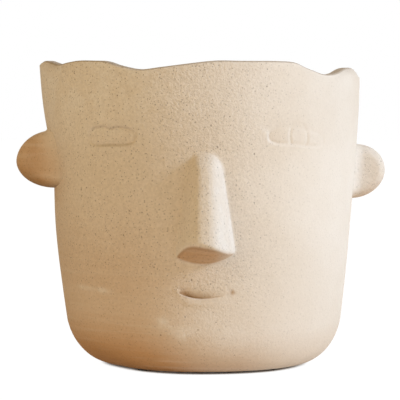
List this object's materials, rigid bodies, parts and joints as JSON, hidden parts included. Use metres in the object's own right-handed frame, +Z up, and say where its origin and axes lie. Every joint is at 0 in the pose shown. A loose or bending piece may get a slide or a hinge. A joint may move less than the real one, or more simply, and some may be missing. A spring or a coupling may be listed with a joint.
{
  "type": "head planter",
  "caption": "Stoneware plant pot shaped as a stylised head with pressed eyes and mouth, nose, side ears and a wavy rim, with a drain hole in its floor closed by a pull-out rubber plug.",
  "frame": {"origin": "middle of the overall footprint, ears and nose included, on the surface that the planter stands on", "axes": "+Z up through the rim, the face looks along -Y, and the head's own left ear is at +X"},
  "size_m": [0.2454, 0.2175, 0.1994],
  "materials": {
    "stoneware": "matt unglazed with fine iron specks",
    "plug_rubber": "matt moulded",
    "pad_rubber": "matt moulded"
  },
  "bodies": {
    "pot": {"head_wall": "stoneware", "floor_slab": "stoneware", "nose": "stoneware", "left_ear": "stoneware", "right_ear": "stoneware", "foot_pads": "pad_rubber"},
    "plug": {"drain_plug": "plug_rubber"}
  },
  "joints": [
    {"name": "plug_pull", "type": "slide", "parent": "pot", "child": "plug", "axis": [0, 0, 1], "range_m": [0, 0.2]}
  ]
}
